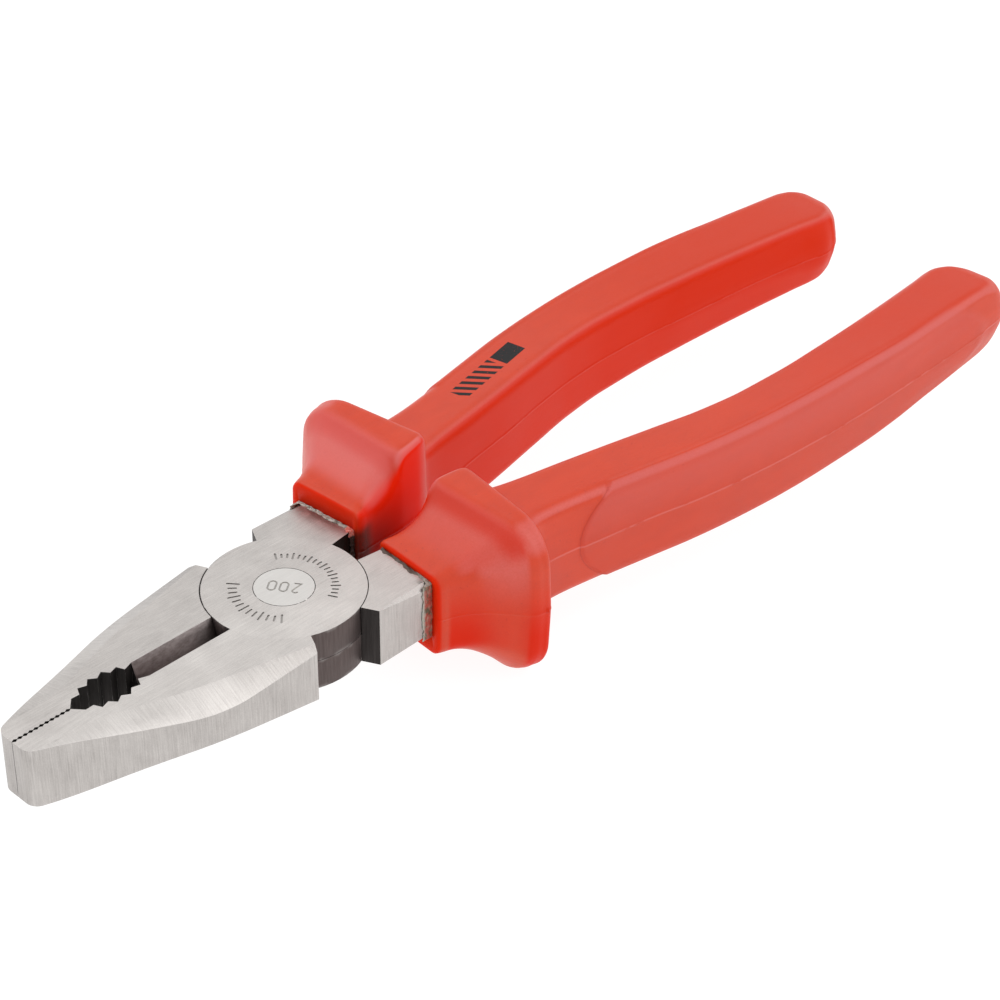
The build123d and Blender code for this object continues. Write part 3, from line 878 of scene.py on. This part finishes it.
    # painted highlight on the upper grip's flare tops, painted shade on the lower grip's
    flare = g.times(g.between(g.x, *FLARE_X, 1.6), g.rise(g.nz, 0.3, 0.6))
    if printed:
        colour = g.layer(colour, flare, 0.5, RED_FLARE_HIGHLIGHT)
        corner_dark = g.times(dark_inner_corner(g), g.spread(grain, 0.6, 1.3))
        colour = g.mix(g.math("MULTIPLY", corner_dark, 0.84, clamp=True), colour, CORNER_DARK_BROWN)
        mark = print_mask(g)
        colour = g.mix(mark, colour, PRINT_BLACK)
        rough = g.blend(mark, rough, 0.5)
        shine = g.blend(mark, shine, 0.3)
    else:
        colour = g.layer(colour, flare, 0.3, RED_FLARE_SHADE)
    g.set("Base Color", colour)
    g.set("Roughness", rough)
    g.set("Specular IOR Level", shine)
    g.subsurface(0.08, (1.0, 0.25, 0.15), 1.2)
    coarse = g.add(g.times(grain, 0.7), g.times(fine, 0.6), g.times(flow, 0.8))
    g.bump(g.add(coarse, g.times(panel, fine, 1.8)), 0.06, 0.6)
    return g.material


def painted_edge_highlights(g, away, up, grain):
    """Painted highlight: paler pink along the handle's upper corners and the guard's outer edge, broken by
    the grain.
    """
    upper_edge_highlight = g.times(g.between(up, 0.50, 0.86, 0.12), g.rise(g.z, -1.0, 4.0))
    guard_edge_highlight = g.times(
        g.between(away, 0.25, 0.70, 0.12),
        g.between(g.x, -33.8, -22.5, 0.8),
        g.rise(g.z, -1.0, 8.0),
    )
    return g.times(
        g.either(upper_edge_highlight, guard_edge_highlight),
        g.spread(grain, 0.3, 0.9),
        g.rise(g.x, -19.5, -22.0),
        g.rise(g.x, -153.0, -148.0),
    )


def dark_inner_corner(g):
    """Dark brown low on the inner corner of the upper half's guard, by the mouth."""
    return g.times(g.rise(g.size_of(g.y), 5.0, 3.9), g.rise(g.x, -22.2, -19.6), g.rise(g.z, 6.4, 4.2))


def panel_masks(g):
    """1 on the raised panel of the outer flank, and 1 along its near outline, where painted crease shade
    goes.
    """
    away = g.away()
    bow = g.times(g.z, g.z, 1 / PANEL_HALF_Z ** 2)
    from_near = g.add(g.x, -PANEL_NEAR_X, g.times(bow, PANEL_NEAR_BOW))
    from_far = g.add(g.x, -PANEL_FAR_X, g.times(bow, -PANEL_FAR_BOW))
    flank = g.rise(away, 0.15, 0.45)
    panel = g.times(flank, g.rise(from_near, 0.2, -0.2), g.rise(from_far, -2.5, 2.5))
    outline = g.times(g.rise(away, 0.3, 0.6), g.rise(g.size_of(g.add(from_near, -0.2)), 0.14, 0.04))
    return panel, outline


# Printed mark on the upper grip's flat: a plain row of slanted bars and one solid bar
PRINT_X = (-71.2, -52.4)
PRINT_D = 17.2
PRINT_HALF = 1.75
PRINT_TURN = 13.0
PRINT_SOLID = 6.0
PRINT_PITCH = 2.0
PRINT_GAP = 0.8
PRINT_SLANT = 0.55
PRINT_SOFT = 0.03


def print_mask(g):
    """1 on the printed bars, 0 elsewhere, on the face that looks up."""
    turn = math.radians(PRINT_TURN)
    middle = sum(PRINT_X) / 2
    half = (PRINT_X[1] - PRINT_X[0]) / 2
    soft = PRINT_SOFT
    dx = g.add(g.x, -middle)
    dy = g.add(g.y, PRINT_D)
    u = g.add(g.times(dx, math.cos(turn)), g.times(dy, math.sin(turn)))
    v = g.add(g.times(dy, math.cos(turn)), g.times(dx, -math.sin(turn)))
    area = g.times(
        g.rise(g.size_of(v), PRINT_HALF + soft, PRINT_HALF - soft),
        g.rise(g.size_of(u), half + soft, half - soft),
        g.rise(g.nz, 0.5, 0.7),
        g.rise(g.z, 0.0, 1.0),
    )
    solid_end = PRINT_SOLID - half
    solid = g.rise(u, solid_end + soft, solid_end - soft)
    wave = g.math("PINGPONG", g.add(u, g.times(v, PRINT_SLANT)), PRINT_PITCH / 2)
    after_gap = g.rise(u, solid_end + PRINT_GAP - 0.05, solid_end + PRINT_GAP + 0.05)
    bars = g.times(g.rise(wave, PRINT_PITCH / 4 - soft, PRINT_PITCH / 4 + soft), after_gap)
    worn = g.rise(g.noise(g.place, 4.0, 3.0, 0.6), 0.26, 0.34)
    return g.times(area, g.either(solid, bars), worn)


def dried_adhesive(name):
    """Dried cement: whitish crust on the upper half, dark on the lower half's top, and green, red and tan
    on the upright sides, with painted shade on the upright sides that face the middle plane."""
    g = Graph(name)
    patch = g.noise(g.place, 0.9, 3.0, 0.6)
    fine = g.noise(g.place, 5.0, 3.0, 0.7)
    colour = g.mix(g.rise(patch, 0.35, 0.65), CEMENT_DIRTY, CEMENT_TAN)
    crust = g.times(g.rise(fine, 0.4, 0.65), g.spread(g.rise(g.y, -4.0, -8.0), 0.15, 0.9))
    colour = g.mix(crust, colour, CEMENT_CRUST)
    thin_top = g.times(g.rise(g.nz, 0.3, 0.6), g.rise(g.y, 1.0, 2.0), g.rise(g.y, 13.5, 11.0))
    colour = g.layer(colour, thin_top, 0.85, CEMENT_THIN)

    upright = g.rise(g.size_of(g.nz), 0.6, 0.3)
    streak = g.noise(g.stretched(1.0, 1.0, 0.25), 3.5, 3.0, 0.7)
    side_colour = g.mix(g.rise(patch, 0.40, 0.52), CEMENT_GREEN, CEMENT_RED)
    side_colour = g.layer(side_colour, g.rise(streak, 0.52, 0.62), 0.7, CEMENT_STREAK)
    side_colour = g.mix(g.rise(g.x, -15.5, -14.9), side_colour, CEMENT_FRONT)
    colour = g.layer(colour, upright, 0.95, side_colour)
    # painted shade on the upright inner sides, in the notch between the halves
    inner = g.rise(g.size_of(g.y), 3.8, 3.3)
    colour = g.mix(g.times(inner, upright), colour, CEMENT_INNER_SHADE)
    drop = g.times(g.between(g.y, -4.6, -2.0, 0.1), g.rise(g.z, 4.2, 4.6))
    colour = g.mix(drop, colour, g.mix(g.rise(fine, 0.4, 0.6), *DROP_RED))
    g.set("Base Color", colour)
    g.set("Roughness", g.spread(fine, 0.30, 0.65))
    g.subsurface(0.1, (1.0, 0.6, 0.4), 0.5)
    g.bump(g.add(patch, g.times(fine, 0.5)), 0.12, 0.7)
    return g.material


def light_table(name):
    """Plain pale floor that glows evenly, so that shadows stay faint."""
    g = Graph(name)
    g.set("Base Color", g.mix(g.noise(g.place, 0.01), *FLOOR_GREY))
    g.set("Roughness", 0.9)
    g.set("Specular IOR Level", 0.1)
    g.set("Emission Color", WHITE)
    g.set("Emission Strength", FLOOR_GLOW)
    return g.material


def paint(piece, *materials):
    piece.data.materials.clear()
    for material in materials:
        piece.data.materials.append(material)


# ---------------------------------------------------------------- the object

WELD_GAP = 0.001
FLAT_WITHIN = 0.4           # degrees: faces closer than this to one plane become one face
SHARP_FROM = 35             # degrees: edges from here on are broken
EDGE_BREAK = 0.12


def break_edges(forging):
    """Finely broken edges on a forging, painted with its second material."""
    weld = forging.modifiers.new("weld", "WELD")
    weld.merge_threshold = WELD_GAP * MM
    flatten = forging.modifiers.new("flat faces", "DECIMATE")
    flatten.decimate_type = "DISSOLVE"
    flatten.angle_limit = math.radians(FLAT_WITHIN)
    broken = forging.modifiers.new("edge break", "BEVEL")
    broken.width = EDGE_BREAK * MM
    broken.segments = 2
    broken.limit_method = "ANGLE"
    broken.angle_limit = math.radians(SHARP_FROM)
    broken.harden_normals = True
    broken.material = 1


steel = ground_steel("ground_steel")
edges = edge_steel("broken_edge_steel")
for body in SIDES:
    forging = frame["nodes"][f"forged_half_{SIDE_WORDS[body]}"]
    paint(forging, steel, edges)
    break_edges(forging)
paint(frame["nodes"]["pivot_rivet"], rivet_steel("rivet_steel"))

for body in SIDES:
    word = SIDE_WORDS[body]
    paint(make_grip(body), red_vinyl(f"red_vinyl_{word}", printed=body == "upper_half"))
    paint(make_adhesive(body), dried_adhesive(f"dried_adhesive_{word}"))


# ---------------------------------------------------------------- stage

FLOOR_HALF = 6.0                # metres
FLOOR_DROP = 0.02               # how far the floor lies below the tool
FLOOR_GREY = ((0.15, 0.15, 0.15), (0.17, 0.17, 0.17))
FLOOR_GLOW = 0.92
WORLD_GLOW = 0.93
BOX_SIDE = 0.62                 # metres, as are the places of the lamps
BOX_AIM = Vector((-0.05, 0.0, 0.0))
RIGHT_BOX = ((-0.48, 0.52, 0.62), 1.42)     # place, and power in watts
LEFT_BOX = ((0.20, -0.52, 0.72), 1.25)
CAMERA_AZIMUTH = 44.46          # degrees, from +X towards +Y
CAMERA_ELEVATION = 35.75
CAMERA_ROLL = 0.58
CAMERA_DISTANCE = 458.7
CAMERA_TARGET = (-45.45, 2.10)  # on the lap plane
CAMERA_LENS = 100.0
CAMERA_SENSOR = 36.0


def make_floor():
    """Plain floor, far wider than the picture."""
    z = cad_low.z - FLOOR_DROP * MM
    half = FLOOR_HALF
    corners = [(-half, -half, z), (half, -half, z), (half, half, z), (-half, half, z)]
    floor = mesh_object("floor", corners, [(0, 1, 2, 3)], smooth=False)
    paint(floor, light_table("light_table"))


def soft_box(name, spot, power):
    """Large lamp that looks at the tool, hardly brighter than the white surroundings."""
    lamp = bpy.data.lights.new(name, "AREA")
    lamp.shape = "RECTANGLE"
    lamp.size, lamp.size_y = BOX_SIDE, BOX_SIDE
    lamp.energy = power
    holder = bpy.data.objects.new(name, lamp)
    holder.location = spot
    holder.rotation_mode = "QUATERNION"
    holder.rotation_quaternion = (BOX_AIM - Vector(spot)).to_track_quat("-Z", "Y")
    bpy.context.scene.collection.objects.link(holder)


def make_camera():
    """Camera at the photo's angle."""
    azimuth, elevation, roll = (
        math.radians(a) for a in (CAMERA_AZIMUTH, CAMERA_ELEVATION, CAMERA_ROLL)
    )
    back = Vector((
        math.cos(elevation) * math.cos(azimuth),
        math.cos(elevation) * math.sin(azimuth),
        math.sin(elevation),
    ))
    level = Vector((0, 0, 1)).cross(back).normalized()
    upward = back.cross(level)
    right = level * math.cos(roll) + upward * math.sin(roll)
    up = upward * math.cos(roll) - level * math.sin(roll)
    data = bpy.data.cameras.new("camera")
    data.lens = CAMERA_LENS
    data.sensor_width = CAMERA_SENSOR
    data.clip_start = 0.01
    data.clip_end = 50
    camera = bpy.data.objects.new("camera", data)
    target = Vector((CAMERA_TARGET[0] * MM, CAMERA_TARGET[1] * MM, PIVOT.z))
    spot = target + back * CAMERA_DISTANCE * MM
    turn = Matrix((right, up, back)).transposed().to_4x4()
    camera.matrix_world = Matrix.Translation(spot) @ turn
    bpy.context.scene.collection.objects.link(camera)
    bpy.context.scene.camera = camera


def make_world():
    """Even white light from everywhere."""
    world = bpy.data.worlds.new("studio")
    world.use_nodes = True
    background = world.node_tree.nodes["Background"]
    background.inputs["Color"].default_value = (*WHITE, 1.0)
    background.inputs["Strength"].default_value = WORLD_GLOW
    bpy.context.scene.world = world
    bpy.context.scene.view_settings.view_transform = "Standard"


make_floor()
make_camera()
soft_box("right_box", *RIGHT_BOX)
soft_box("left_box", *LEFT_BOX)
make_world()
